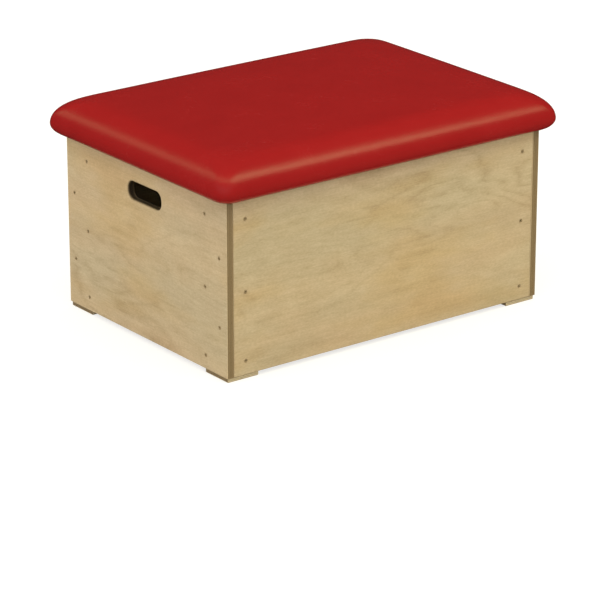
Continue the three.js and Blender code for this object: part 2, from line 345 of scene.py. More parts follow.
NUMBER = "NodeSocketFloat"
COUNT = "NodeSocketInt"
VECTOR = "NodeSocketVector"
COLOUR = "NodeSocketColor"
GEOMETRY = "NodeSocketGeometry"
MATERIAL = "NodeSocketMaterial"
SURFACE = {"Color": COLOUR, "Roughness": NUMBER, "Height": NUMBER}


# Geometry rules

def sizes_from(group, *names):
    """Tree inputs that have the names and defaults of a group's settings"""
    return {as_label(name): (NUMBER, group.__annotations__[name].keywords["default"]) for name in names}


def position(tree):
    return split(tree, tree.nodes.new("GeometryNodeInputPosition"))


def marked(tree, geometry, name, value):
    """Keeps a number at each point, for the script or a material to read"""
    return add(tree, "GeometryNodeStoreNamedAttribute", {
        "Geometry": geometry, "Name": name, "Value": value,
    }, data_type="FLOAT", domain="POINT")


def give_piece(tree, geometry, material):
    """Ends a tree with a real mesh that wears its material"""
    real = add(tree, "GeometryNodeRealizeInstances", {"Geometry": geometry})
    done = add(tree, "GeometryNodeSetMaterial", {"Geometry": real, "Material": material})
    return give(tree, Geometry=done)


def padded_top_tree():
    """A bullnose round a rounded plan with a crown, drawn from a cube whose walls become the side"""
    underside, smallest, least_radius = -0.499, 0.000001, 0.004
    takes = {
        "Half Length": (NUMBER, 0.5),
        "Half Width": (NUMBER, 0.35),
        "Base Height": (NUMBER, 0.0),
        "Depth": (NUMBER, 0.0),
        **sizes_from(
            PaddedTopSettings, "corner_radius", "rim_radius", "corner_pull", "under_run", "under_rise",
            "nose_run", "nose_rise", "crown", "hem_reach",
        ),
        "Cells Along": (COUNT, 60),
        "Cells Across": (COUNT, 42),
        "Arc Cells": (COUNT, 4),
        "Hem Rows": (COUNT, 5),
        "Under Rows": (COUNT, 5),
        "Nose Rows": (COUNT, 8),
        "Closed Below": ("NodeSocketBool", False),
        "Material": (MATERIAL, None),
    }
    tree, put = tree_with("GeometryNodeTree", "Padded Top", takes, {"Geometry": GEOMETRY})
    rows = put.hem_rows + put.under_rows + put.nose_rows
    cube = add(tree, "GeometryNodeMeshCube", {
        "Size": (1, 1, 1),
        "Vertices X": put.cells_along + 1,
        "Vertices Y": put.cells_across + 1,
        "Vertices Z": rows + 1,
    })
    x, y, z = position(tree)
    below = add(tree, "FunctionNodeBooleanMath", {
        0: add(tree, "FunctionNodeCompare", {0: z, 1: underside}, operation="LESS_THAN"),
        1: put.closed_below,
    }, operation="NIMPLY")
    opened = add(tree, "GeometryNodeDeleteGeometry", {"Geometry": cube, "Selection": below}, domain="FACE")

    # How far out a point lies, and where its line meets the edge of the square
    reach = abs(x).at_least(abs(y)) * 2
    safe = reach.at_least(smallest)

    # Straights and corner arcs, each side's share of cells kept
    straights, turns, signs = [], [], []
    for edge, cells in ((x / safe, put.cells_along), (y / safe, put.cells_across)):
        straight = 0.5 - put.arc_cells / cells
        straights.append((edge / straight).at_least(-1).at_most(1))
        turns.append(abs(edge).ramp(straight, 0.5))
        signs.append(edge.reckon("SIGN"))
    angle_along = (1 + turns[1] - turns[0]) * math.radians(45)
    facing_x = angle_along.reckon("COSINE") * signs[0]
    facing_y = angle_along.reckon("SINE") * signs[1]

    # The profile, row by row: hem, lower quarter, nose
    row = (z + 0.5) * rows
    hem = (row / put.hem_rows).kept_in()
    under = ((row - put.hem_rows) / put.under_rows).kept_in() * math.radians(90)
    nose = ((row - put.hem_rows - put.under_rows) / put.nose_rows).kept_in() * math.radians(90)
    sin_under, cos_under = under.reckon("SINE"), under.reckon("COSINE")
    sin_nose, cos_nose = nose.reckon("SINE"), nose.reckon("COSINE")
    inset = (
        (put.hem_reach - put.under_run) * (1 - hem)
        + put.under_run * (1 - sin_under)
        + put.nose_run * (1 - cos_nose)
    )
    rise = put.under_rise * (1 - cos_under) + put.nose_rise * sin_nose
    on_nose = nose > 0
    run = put.under_run + (put.nose_run - put.under_run) * on_nose
    outwards = sin_under * cos_nose / run
    upwards = sin_nose / put.nose_rise - cos_under / put.under_rise
    steepness = (outwards * outwards + upwards * upwards).reckon("SQRT")
    outwards, upwards = outwards / steepness, upwards / steepness

    # The plan's radius grows from the widest line to the rim, and is pulled tighter half way
    shrink = inset + put.depth * outwards
    rounding = 1 - inset / put.nose_run * on_nose
    radius = put.rim_radius + (put.corner_radius - put.rim_radius) * rounding
    radius = radius - put.corner_pull * 4 * rounding * (1 - rounding)
    radius = (radius - put.depth * outwards).at_least(least_radius)
    placed_x = reach * (straights[0] * (put.half_length - shrink - radius) + facing_x * radius)
    placed_y = reach * (straights[1] * (put.half_width - shrink - radius) + facing_y * radius)
    part_x, part_y = placed_x / put.half_length, placed_y / put.half_width
    crown = put.crown * (1 - part_x * part_x) * (1 - part_y * part_y) * sin_nose
    placed_z = put.base_height + rise + crown - put.depth * upwards

    # Marked while the points still lie on the cube
    hemmed = marked(tree, opened, "hem", 1 - (under > 0))
    shaped = add(tree, "GeometryNodeSetPosition", {
        "Geometry": hemmed, "Position": joined(tree, placed_x, placed_y, placed_z),
    })
    smooth = add(tree, "GeometryNodeSetShadeSmooth", {"Geometry": shaped})
    return give_piece(tree, smooth, put.material)


def screw_tree():
    """A countersunk, threaded screw with a cross recess, set at each point and turned to face outwards"""
    takes = {
        "Points": (GEOMETRY, None),
        "Length": (NUMBER, 0.05),
        **sizes_from(
            ScrewSettings, "head_width", "rim_height", "cone_height", "shank_width", "thread_depth",
            "thread_pitch", "recess_width", "recess_depth",
        ),
        "Sides": (COUNT, 28),
        "Seed": (COUNT, 4),
        "Material": (MATERIAL, None),
    }
    tree, put = tree_with("GeometryNodeTree", "Countersunk Screw", takes, {"Geometry": GEOMETRY})
    head_rows, rows_to_turn, chamfer_share, blunt_tip, runout = 3, 3, 0.4, 0.06, 9

    # A cylinder whose rows become chamfer, rim, cone and shaft
    head, shank = put.head_width / 2, put.shank_width / 2
    shaft = put.length - put.rim_height - put.cone_height
    steps = (shaft / put.thread_pitch * rows_to_turn).reckon("ROUND")
    rows = steps + head_rows
    blank = add(tree, "GeometryNodeMeshCylinder", {
        "Vertices": put.sides, "Side Segments": rows, "Radius": 1.0, "Depth": 1.0,
    })
    x, y, z = position(tree)
    row = (0.5 - z) * rows
    first, second, third = row.kept_in(), (row - 1).kept_in(), (row - 2).kept_in()
    along = ((row - head_rows) / steps).kept_in()
    chamfer = put.rim_height * chamfer_share
    drop = chamfer * first + (put.rim_height - chamfer) * second
    drop = drop + put.cone_height * third + shaft * along
    about = y.reckon("ARCTAN2", x) / math.radians(360)
    turn = (shaft * along / put.thread_pitch - about).fraction()
    thread = put.thread_depth * (1 - abs(turn * 2 - 1)) * (along * runout).kept_in()
    point = ((shaft * (1 - along)) / put.cone_height).kept_in()
    radius = head - chamfer * (1 - first) - (head - shank) * third
    radius = radius * point.at_least(blunt_tip) + thread * point
    turned = add(tree, "GeometryNodeSetPosition", {
        "Geometry": blank, "Position": joined(tree, x * radius, y * radius, 0 - drop),
    })

    # Two tapered wings, cut out as the cross
    recessed = add(tree, "GeometryNodeMeshBoolean", {"Mesh 1": turned}, operation="DIFFERENCE")
    wide, narrow, tall, thin = 0.56, 0.24, 1.2, 0.3
    for quarter in (0, 90):
        wing = add(tree, "GeometryNodeTransform", {
            "Geometry": add(tree, "GeometryNodeMeshCone", {
                "Vertices": 4,
                "Radius Top": put.recess_width * wide,
                "Radius Bottom": put.recess_width * narrow,
                "Depth": put.recess_depth * tall,
            }),
            "Translation": joined(tree, 0.0, 0.0, 0 - put.recess_depth),
            "Rotation": (0, 0, math.radians(quarter)),
            "Scale": (1, thin, 1),
        })
        feed(tree, recessed.inputs["Mesh 2"], wing)

    # The recess's walls are what lies near the axis, beneath the face; they are marked for the painted shade
    # in the recess
    skin, around, beneath = 0.00005, 0.53, 1.15
    x, y, z = position(tree)
    near_axis = (x * x + y * y).reckon("SQRT") < put.recess_width * around
    deep = ((0 - z) > skin) * (z + put.recess_depth * beneath > 0)
    cut = marked(tree, recessed, "recess", near_axis * deep)

    # Set at each point to face outwards, then turned about its own axis
    facing = add(tree, "GeometryNodeInputNamedAttribute", {"Name": "facing"}, data_type="FLOAT_VECTOR")
    placed = add(tree, "GeometryNodeInstanceOnPoints", {
        "Points": put.points,
        "Instance": cut,
        "Rotation": add(tree, "FunctionNodeAlignRotationToVector", {"Vector": facing}, axis="Z"),
    })
    spin = add(tree, "FunctionNodeRandomValue", {
        2: 0.0, 3: math.radians(360), "Seed": put.seed,
    }, data_type="FLOAT")
    spun = add(tree, "GeometryNodeRotateInstances", {
        "Instances": placed,
        "Rotation": add(tree, "FunctionNodeEulerToRotation", {0: joined(tree, 0.0, 0.0, spin.outputs[1])}),
        "Local Space": True,
    })
    return give_piece(tree, spun, put.material)


def new_object(name, data):
    """An object in the scene"""
    thing = bpy.data.objects.new(name, data)
    bpy.context.scene.collection.objects.link(thing)
    return thing


def make_plain(piece):
    """Turns what a piece's modifiers give into its plain mesh"""
    depsgraph = bpy.context.evaluated_depsgraph_get()
    result = bpy.data.meshes.new_from_object(
        piece.evaluated_get(depsgraph), preserve_all_data_layers=True, depsgraph=depsgraph
    )
    piece.modifiers.clear()
    piece.data = result
    if not result.polygons:
        raise RuntimeError(f"{piece.name} came out empty")


def shaped_by(tree, name, settings, values, mesh=None):
    """A piece in the plain mesh that a tree gives, with these values and the settings of the same name"""
    piece = new_object(name, mesh or bpy.data.meshes.new(name))
    modifier = piece.modifiers.new("Form", "NODES")
    modifier.node_group = tree
    for item in tree.interface.items_tree:
        if item.name in values:
            modifier[item.identifier] = values[item.name]
        elif item.in_out == "INPUT" and hasattr(settings, as_setting(item.name)):
            modifier[item.identifier] = getattr(settings, as_setting(item.name))
    make_plain(piece)
    piece.data.name = name
    return piece


def points_of(mesh):
    points = np.empty(len(mesh.vertices) * 3)
    mesh.vertices.foreach_get("co", points)
    return points.reshape(-1, 3)


def move_points(mesh, points):
    mesh.vertices.foreach_set("co", np.asarray(points, dtype=np.float32).ravel())
    mesh.update()


# Effects that several materials share

def noise(tree, vector, scale, detail=2.0, **more):
    inputs = {"Vector": vector, "Scale": scale, "Detail": detail, **more}
    return Field(tree, add(tree, "ShaderNodeTexNoise", inputs))


def grain_noise(tree, vector, scale, seed, detail=2.0, **more):
    """Noise drawn out along the grain, which runs along x"""
    x, y, z = split(tree, vector)
    stretched = joined(tree, x * scale[0] + seed, y * scale[1], z * scale[2])
    return noise(tree, stretched, 1.0, detail, **more)


def blended(tree, factor, first, second, mode="MIX"):
    mix = add(tree, "ShaderNodeMix", {0: factor, 6: first, 7: second}, data_type="RGBA", blend_type=mode)
    return mix.outputs[2]


def edge_wear_group():
    """A mask along edges, where handling has rubbed the surface; on the plywood it also paints a highlight
    along the eased edges
    """
    takes = {"Radius": (NUMBER, 0.002), "Patchiness": (NUMBER, 0.5)}
    tree, put = effect_with("Edge Wear", takes, {"Mask": NUMBER})
    true_normal = tree.nodes.new("ShaderNodeNewGeometry").outputs["Normal"]
    rounded = add(tree, "ShaderNodeBevel", {"Radius": put.radius}, samples=4)
    likeness = vector_math(tree, "DOT_PRODUCT", true_normal, rounded).outputs["Value"]
    bend = (1 - Field(tree, likeness)) * 6
    patchy = noise(tree, put.vector, 45.0, 3.0).ramp(0.38, 0.62)
    return give(tree, Mask=(bend * (1 - put.patchiness * (1 - patchy))).kept_in())


def handling_group():
    """Large soft smudges and small scuffs, each as a mask"""
    gives = {"Smudges": NUMBER, "Scuffs": NUMBER}
    tree, put = effect_with("Handling", {"Scale": (NUMBER, 1.0)}, gives)
    large = noise(tree, put.vector, put.scale * 5, 4.0, Roughness=0.55)
    small = noise(tree, put.vector, put.scale * 60, 5.0, Distortion=1.5)
    return give(tree, Smudges=large.ramp(0.3, 0.7), Scuffs=small.ramp(0.58, 0.7))


def birch_veneer_group():
    """Rotary-cut birch: fine fibres, soft flames and slow changes of colour"""
    takes = {
        "Pale": (COLOUR, (0.57, 0.43, 0.25, 1)),
        "Brown": (COLOUR, (0.36, 0.24, 0.12, 1)),
        "Figure": (NUMBER, 1.0),
    }
    tree, put = effect_with("Birch Veneer", takes, SURFACE)
    grain = partial(grain_noise, tree, put.vector)
    fibres = grain((14, 380, 380), 3.1, 3.0)
    pores = grain((70, 1300, 1300), 8.4).ramp(0.6, 0.72)
    streaks = grain((2.2, 42, 42), 5.7, 3.0, Roughness=0.6)
    flecks = grain((125, 270, 270), 16.3)
    clouds = grain((20, 44, 44), 27.8)

    # The veneer is peeled from a round log, so its rings show as the contour lines of a hilly ground
    terrain = grain((1.2, 4.6, 4.6), 1.9, Distortion=0.5)
    contours = (terrain * 15 + streaks * 0.9 + clouds * 0.3).fraction()
    flames = (1 - abs(contours * 2 - 1)) ** 2.4 * (0.35 + clouds * 1.1)
    where = grain((1.1, 3.1, 3.1), 12.6).ramp(0.3, 0.6)
    lower = 1 - (split(tree, put.vector)[1] / 0.4 + 0.62).kept_in() * 0.55
    flames = flames * where * lower * put.figure

    brown = (fibres - 0.5) * 0.4 + (streaks - 0.5) * 0.45 + (flecks - 0.5) * 0.65 + (clouds - 0.5) * 0.4
    brown = brown + flames * 0.36 + pores * 0.08 + 0.21
    wood = blended(tree, brown.kept_in(), put.pale, put.brown)
    cool_rosy_golden = (
        ((2.4, 6, 6), 21.3, (0.44, 0.64), 0.5, (0.86, 0.93, 0.98, 1)),
        ((1.7, 5, 5), 33.9, (0.46, 0.68), 0.5, (1.0, 0.88, 0.84, 1)),
        ((2.8, 7, 7), 47.2, (0.48, 0.64), 0.7, (0.97, 0.9, 0.74, 1)),
    )
    for scale, seed, limits, strength, tint in cool_rosy_golden:
        wood = blended(tree, grain(scale, seed, 3.0).ramp(*limits) * strength, wood, tint, "MULTIPLY")
    return give(
        tree,
        Color=wood,
        Roughness=(0.5 + (fibres - 0.5) * 0.16 + pores * 0.1).kept_in(),
        Height=fibres * 0.6 + (1 - pores) * 0.15 + streaks * 0.25,
    )


def ply_layers_group():
    """The layers that a cut edge of plywood shows; z runs through the sheet"""
    takes = {
        "Thickness": (NUMBER, 0.021),
        "Layers": (NUMBER, 15),
        "Pale": (COLOUR, (0.4, 0.28, 0.15, 1)),
        "Dark": (COLOUR, (0.16, 0.1, 0.05, 1)),
        "End Grain": (NUMBER, 0.0),
    }
    tree, put = effect_with("Ply Layers", takes, {"Color": COLOUR, "Face": NUMBER, "Height": NUMBER})
    grain = partial(grain_noise, tree, put.vector)
    through = (split(tree, put.vector)[2] / put.thickness + 0.5).at_least(0.0001).at_most(0.9999)
    level = through * put.layers
    face = (level - 1) * (put.layers - 1 - level) < 0
    level = level + (grain((9, 9, 0.01), 4.4) - 0.5) * 0.35
    layer, place = level.reckon("FLOOR"), level.fraction()
    crossed = abs(layer.reckon("MODULO", 2))
    glue = 1 - (abs(place - 0.5) * -1 + 0.5).ramp(0.0, 0.13)
    each = Field(tree, add(tree, "ShaderNodeTexWhiteNoise", {"W": layer}, noise_dimensions="1D"))
    ends = grain((900, 900, 900), 2.2)
    gaps = grain((45, 45, 500), 6.6, 1.0).ramp(0.7, 0.74)
    # A ply is dark where its own grain is cut across
    cut = crossed + put.end_grain * (1 - crossed * 2)
    dark = cut * 0.35 + (each - 0.5) * 0.25 + glue * 0.3 + gaps * 0.5 + (ends - 0.5) * 0.4
    dark = dark + put.end_grain * 0.62
    return give(
        tree,
        Color=blended(tree, dark.kept_in(), put.pale, put.dark),
        Face=face,
        Height=(1 - glue) * 0.6 + ends * 0.4 - gaps,
    )


def hole_wall_shade_group():
    """A mask of painted shade on the walls of a hand hole, growing with the depth; z runs through the sheet
    """
    takes = {"Centre": (VECTOR, (0, 0.156, 0)), "Half Size": (VECTOR, (0.078, 0.028, 0.0105))}
    tree, put = effect_with("Hole Wall Shade", takes, {"Mask": NUMBER})
    away = vector_math(tree, "ABSOLUTE", vector_math(tree, "SUBTRACT", put.vector, put.centre))
    x, y, z = split(tree, vector_math(tree, "SUBTRACT", put.half_size, away))
    full_depth = 0.007
    return give(tree, Mask=(x.at_most(y) > 0) * (z / full_depth).kept_in() ** 0.6)


def softwood_group():
    """Sawn softwood: growth rings round a pith that runs along x"""
    takes = {
        "Pith": (VECTOR, (0, 0.05, 0.03)),
        "Ring Width": (NUMBER, 0.003),
        "Pale": (COLOUR, (0.62, 0.45, 0.24, 1)),
        "Dark": (COLOUR, (0.37, 0.2, 0.08, 1)),
        "End Grain": (NUMBER, 0.0),
    }
    tree, put = effect_with("Softwood Rings", takes, SURFACE)
    grain = partial(grain_noise, tree, put.vector)
    y, z = split(tree, vector_math(tree, "SUBTRACT", put.vector, put.pith))[1:]
    bent = grain((1.6, 9, 9), 7.7) - 0.5
    from_pith = (y * y + z * z).reckon("SQRT") + bent * 0.02
    ring = (from_pith / put.ring_width).fraction()
    late = ring.ramp(0.3, 0.92) ** 1.6 * (1 - ring.ramp(0.94, 1.0))
    fibres = grain((16, 520, 520), 2.6, 3.0)
    patches = grain((2.5, 22, 22), 9.2, 3.0)
    dark = late * 0.55 + (fibres - 0.5) * 0.35 + (patches - 0.5) * 0.4 + 0.1
    dark = dark + put.end_grain * 0.45
    return give(
        tree,
        Color=blended(tree, dark.kept_in(), put.pale, put.dark),
        Roughness=(0.62 + (fibres - 0.5) * 0.2 - late * 0.06 + put.end_grain * 0.1).kept_in(),
        Height=fibres * 0.6 + late * 0.4,
    )


def vinyl_group():
    """Coated fabric: a fine pebbled grain, with slow changes of tone and gloss"""
    takes = {"Color": (COLOUR, (0.32, 0.01, 0.01, 1)), "Grain": (NUMBER, 0.0014)}
    tree, put = effect_with("Coated Fabric", takes, SURFACE)
    pebbles = add(tree, "ShaderNodeTexVoronoi", {
        "Vector": put.vector, "Scale": put.grain ** -1, "Randomness": 1.0,
    }, feature="DISTANCE_TO_EDGE")
    valley = Field(tree, pebbles).ramp(0.0, 0.22)
    tone = noise(tree, put.vector, 9.0, 3.0).ramp(0.3, 0.7)
    fine = noise(tree, put.vector, 900.0)
    deep = blended(tree, 1.0, put.color, (0.86, 0.82, 0.84, 1), "MULTIPLY")
    shade = (1 - valley) * 0.35 + (1 - tone) * 0.4
    return give(
        tree,
        Color=blended(tree, shade.kept_in(), put.color, deep),
        Roughness=(0.215 + (tone - 0.5) * 0.03 + (fine - 0.5) * 0.015 + (1 - valley) * 0.05).kept_in(),
        Height=valley * 0.8 + fine * 0.2,
    )


# Materials

SMUDGE_TINT = (0.93, 0.95, 0.97, 1)
# Painted shade on the walls of the hand holes
HOLE_WALL_SHADE = (0.02, 0.011, 0.006, 1)
BRIGHT_ZINC = (0.7, 0.58, 0.38, 1)
# Painted shade in the screws' cross recesses
RECESS_SHADE = (0.03, 0.018, 0.009, 1)
SCUFFED_VINYL = (0.42, 0.05, 0.045, 1)


def opaque(rgb, tint=(1, 1, 1)):
    return (*(value * share for value, share in zip(rgb, tint)), 1)


def darker(rgb, share):
    return opaque(rgb, (share, share, share))


def middle(low, high):
    return (Vector(low) + Vector(high)) / 2


def turned_to(x_axis, y_axis, z_axis):
    """The rotation that turns the three axes to these directions"""
    return Matrix((x_axis, y_axis, z_axis)).transposed().to_euler()


class Finish:
    """A new material with one Principled BSDF, laid out on Object coordinates"""

    def __init__(self, name):
        self.material = bpy.data.materials.new(name)
        self.material.use_nodes = True
        self.tree = self.material.node_tree
        self.tree.nodes.clear()
        self.shader = self.tree.nodes.new("ShaderNodeBsdfPrincipled")
        self.result = add(self.tree, "ShaderNodeOutputMaterial", {"Surface": self.shader})
        self.place = self.tree.nodes.new("ShaderNodeTexCoord")
        self.vector = self.place.outputs["Object"]

    def lay_grain(self, node, along, through):
        """Centres the coordinates on a CAD node and turns them so that its grain runs along x"""
        self.vector = add(self.tree, "ShaderNodeMapping", {
            "Vector": self.vector,
            "Location": middle(*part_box(node)),
            "Rotation": turned_to(along, Vector(through).cross(Vector(along)), through),
        }, vector_type="TEXTURE")

    def end_grain(self, along):
        """A mask where the surface faces along the grain, either way, and cuts it across"""
        squarely = vector_math(self.tree, "DOT_PRODUCT", self.place.outputs["Normal"], along)
        return abs(Field(self.tree, squarely.outputs["Value"])).ramp(0.5, 0.9)

    def group(self, name, build, **inputs):
        """A shared effect on this finish's coordinates, and its results by name"""
        node = self.tree.nodes.new("ShaderNodeGroup")
        node.node_tree = once(name, build)
        for setting, value in {"vector": self.vector, **inputs}.items():
            feed(self.tree, node.inputs[as_label(setting)], value)
        return by_name(self.tree, node.outputs)

    def wear(self, radius, patchiness=0.5):
        return self.group("Edge Wear", edge_wear_group, radius=radius, patchiness=patchiness).mask

    def handling(self, scale=1.0):
        return self.group("Handling", handling_group, scale=scale)

    def complete(self, shown, roughness, height, depth, specular=0.5, metallic=0.0):
        """Feeds the shader, with a bump of this depth; what is constant stays on its own sockets"""
        inputs = {
            "Base Color": shown,
            "Roughness": roughness,
            "Metallic": metallic,
            "Specular IOR Level": specular,
            "Normal": add(self.tree, "ShaderNodeBump", {
                "Height": height, "Strength": 1.0, "Distance": depth,
            }),
        }
        for label, value in inputs.items():
            feed(self.tree, self.shader.inputs[label], value)
        return self.material


def dress(node, material):
    """Gives a CAD node its finish"""
    for place in frame["nodes"][node].material_slots:
        place.material = material


def dress_in_plywood(node, along, through, layers, timber, tint, figure=1.0, layer_tint=(1, 1, 1),
                     hole=None):
    """Finishes a sheet as birch plywood, with its layers on each cut edge and painted shade on the walls of
    a hole
    """
    low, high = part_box(node)
    finish = Finish(node)
    tree = finish.tree
    finish.lay_grain(node, along, through)
    veneer = finish.group(
        "Birch Veneer", birch_veneer_group, figure=figure,
        pale=opaque(timber.pale_veneer, tint), brown=opaque(timber.brown_veneer, tint),
    )
    plies = finish.group(
        "Ply Layers", ply_layers_group, layers=float(layers),
        thickness=abs((high - low).dot(Vector(through))), end_grain=finish.end_grain(along),
        pale=opaque(timber.pale_layer, layer_tint), dark=opaque(timber.dark_layer),
    )
    wood = blended(tree, plies.face, plies.color, veneer.color)
    smudges = finish.handling().smudges
    wood = blended(tree, smudges * 0.12, wood, SMUDGE_TINT, "MULTIPLY")
    # Pale edges: partly rubbed wear, partly a painted highlight on the eased edges
    wood = blended(tree, finish.wear(radius=0.0022) * 0.35, wood, darker(timber.pale_veneer, 0.82))
    if hole:
        # Painted shade, darker the deeper the hole's walls lie
        painted_hole_shade = finish.group("Hole Wall Shade", hole_wall_shade_group, centre=hole).mask * 0.93
        wood = blended(tree, painted_hole_shade, wood, HOLE_WALL_SHADE)
    rough = (veneer.roughness + smudges * 0.06).kept_in()
    height = veneer.height * plies.face + plies.height * (1 - plies.face)
    dress(node, finish.complete(wood, rough, height, depth=0.00016, specular=0.3))


def dress_in_softwood(node, along, pith, timber):
    """Finishes a piece as sawn wood, with rings on its ends and grain along its sides"""
    finish = Finish(node)
    finish.lay_grain(node, along, CROSSWAYS if along == UPRIGHT else UPRIGHT)
    wood = finish.group(
        "Softwood Rings", softwood_group, pith=pith, ring_width=timber.ring_width,
        pale=opaque(timber.softwood_pale), dark=opaque(timber.softwood_dark),
        end_grain=finish.end_grain(along),
    )
    rubbed = finish.wear(radius=0.003) * 0.3
    shown = blended(finish.tree, rubbed, wood.color, darker(timber.softwood_pale, 0.9))
    dress(node, finish.complete(shown, wood.roughness, wood.height, depth=0.0002, specular=0.25))


def zinc_plate(settings):
    """Yellowed zinc, brushed by the driver, with painted shade in the recess"""
    finish = Finish("yellowed_zinc")
    tree = finish.tree
    handling = finish.handling(scale=12.0)
    shown = blended(tree, handling.smudges * 0.4, opaque(settings.zinc), darker(settings.zinc, 0.72))
    shown = blended(tree, finish.wear(radius=0.0004, patchiness=0.3) * 0.35, shown, BRIGHT_ZINC)
    # Painted shade darkens the walls of the cross recess
    recess = add(tree, "ShaderNodeAttribute", attribute_name="recess").outputs["Fac"]
    shown = blended(tree, Field(tree, recess) * 0.9, shown, RECESS_SHADE)
    rough = (0.34 + handling.smudges * 0.16).kept_in()
    return finish.complete(shown, rough, handling.scuffs, depth=0.00003, metallic=0.45)


def coated_fabric(settings):
    """Red vinyl with a fine pebbled grain"""
    finish = Finish("red_vinyl")
    vinyl = finish.group("Coated Fabric", vinyl_group, color=opaque(settings.vinyl_colour), grain=0.0014)
    scuffs = finish.handling().scuffs
    shown = blended(finish.tree, scuffs * 0.02, vinyl.color, SCUFFED_VINYL)
    rough = (vinyl.roughness + scuffs * 0.01).kept_in()
    return finish.complete(shown, rough, vinyl.height, depth=0.00005, specular=0.3)


def upholstery_foam(settings):
    """Open-celled foam"""
    finish = Finish("pad_foam")
    cells = add(finish.tree, "ShaderNodeTexVoronoi", {"Vector": finish.vector, "Scale": 900.0})
    depth = Field(finish.tree, cells).ramp(0.1, 0.7)
    shade = (depth * 0.45 + finish.handling(scale=2.0).smudges * 0.2).kept_in()
    shown = blended(finish.tree, shade, opaque(settings.foam_colour), darker(settings.foam_colour, 0.62))
    return finish.complete(shown, (0.86 + depth * 0.1).kept_in(), 1 - depth, depth=0.0004)


# Pieces

def settle(piece):
    """Rides a finished piece on the box"""
    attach(piece, BODY)


class DressOperator:
    """What the operators share"""

    bl_options = {"REGISTER", "UNDO"}


class VAULT_OT_panels(DressOperator, bpy.types.Operator):
    """Finish the end and side panels as lacquered birch plywood"""

    bl_idname = "vaulting_box.panels"
    bl_label = "Plywood Panels"

    def execute(self, context):
        timber = context.scene.timber
        tints = {
            "end_panel_left": (0.962, 0.952, 0.965),
            "end_panel_right": (0.98, 0.97, 0.96),
            "side_panel_front": (0.925, 0.915, 0.905),
            "side_panel_back": (0.97, 0.97, 0.97),
        }
        for node, tint in tints.items():
            crosswise = node.startswith("end")
            along, through = (CROSSWAYS, LENGTHWAYS) if crosswise else (LENGTHWAYS, CROSSWAYS)
            hole = (0, timber.hole_height - middle(*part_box(node)).z, 0) if crosswise else None
            dress_in_plywood(node, along, through, timber.panel_layers, timber, tint, hole=hole)
        return {"FINISHED"}


class VAULT_OT_posts(DressOperator, bpy.types.Operator):
    """Finish the four corner posts as planed softwood"""

    bl_idname = "vaulting_box.posts"
    bl_label = "Corner Posts"

    def execute(self, context):
        piths = [(0.1, 0.07, -0.05), (-0.3, -0.06, 0.05), (0.5, 0.02, 0.07), (0.9, -0.07, -0.03)]
        for node, pith in zip(POSTS, piths):
            dress_in_softwood(node, UPRIGHT, pith, context.scene.timber)
        return {"FINISHED"}


class VAULT_OT_rails(DressOperator, bpy.types.Operator):
    """Finish the top rails and the centre bearer as planed softwood"""

    bl_idname = "vaulting_box.rails"
    bl_label = "Rails and Bearer"

    def execute(self, context):
        runs = {
            "top_rail_front": (LENGTHWAYS, (0.0, 0.03, 0.06)),
            "top_rail_back": (LENGTHWAYS, (0.0, -0.05, 0.04)),
            "top_rail_left": (CROSSWAYS, (0.0, 0.06, -0.02)),
            "top_rail_right": (CROSSWAYS, (0.0, -0.03, 0.05)),
            "centre_bearer": (CROSSWAYS, (0.0, 0.05, 0.07)),
        }
        for node, (along, pith) in runs.items():
            dress_in_softwood(node, along, pith, context.scene.timber)
        return {"FINISHED"}


class VAULT_OT_feet(DressOperator, bpy.types.Operator):
    """Finish the corner feet as plywood plates with open edges"""

    bl_idname = "vaulting_box.feet"
    bl_label = "Corner Feet"

    def execute(self, context):
        timber = context.scene.timber
        tint, layer_tint, figure = (0.98, 0.94, 0.88), (1.08, 1.16, 1.34), 0.5
        for node in FEET:
            dress_in_plywood(
                node, LENGTHWAYS, UPRIGHT, timber.foot_layers, timber, tint, figure, layer_tint
            )
        return {"FINISHED"}


class VAULT_OT_board(DressOperator, bpy.types.Operator):
    """Finish the board under the pad as plain plywood"""

    bl_idname = "vaulting_box.board"
    bl_label = "Top Board"

    def execute(self, context):
        timber = context.scene.timber
        tint, figure = (0.95, 0.92, 0.86), 0.7
        dress_in_plywood("top_board", LENGTHWAYS, UPRIGHT, timber.board_layers, timber, tint, figure)
        return {"FINISHED"}


def drive_screws(name, places, screw_length, settings, replaced=()):
    """Sets a screw at each place, a point and the way its head faces, and joins them in one piece"""
    points = bpy.data.meshes.new(name)
    points.from_pydata([point for point, facing in places], [], [])
    facings = points.attributes.new("facing", "FLOAT_VECTOR", "POINT")
    facings.data.foreach_set("vector", np.array([facing for point, facing in places], float).ravel())
    piece = shaped_by(once("Countersunk Screw", screw_tree), name, settings, {
        "Length": screw_length,
        "Material": bpy.data.materials.get("yellowed_zinc") or zinc_plate(settings),
    }, points)
    piece.data.shade_smooth()
    piece.data.set_sharp_from_angle(angle=math.radians(28))
    if replaced:
        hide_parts(*replaced)
    settle(piece)


class VAULT_OT_panel_screws(DressOperator, bpy.types.Operator):
    """Drive the screws that hold the panels to the corner posts"""

    bl_idname = "vaulting_box.panel_screws"
    bl_label = "Panel Screws"

    def execute(self, context):
        screws = context.scene.screws
        places = []
        for node in PANEL_SCREWS:
            low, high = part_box(node)
            at, facing = middle(low, high), Vector((0, 0, 0))
            axis = 0 if node.startswith("end") else 1
            facing[axis] = math.copysign(1, at[axis])
            at[axis] = (high if facing[axis] > 0 else low)[axis]
            places.append((at, facing))
        drive_screws("panel_screws", places, screws.panel_screw, screws, PANEL_SCREWS)
        return {"FINISHED"}


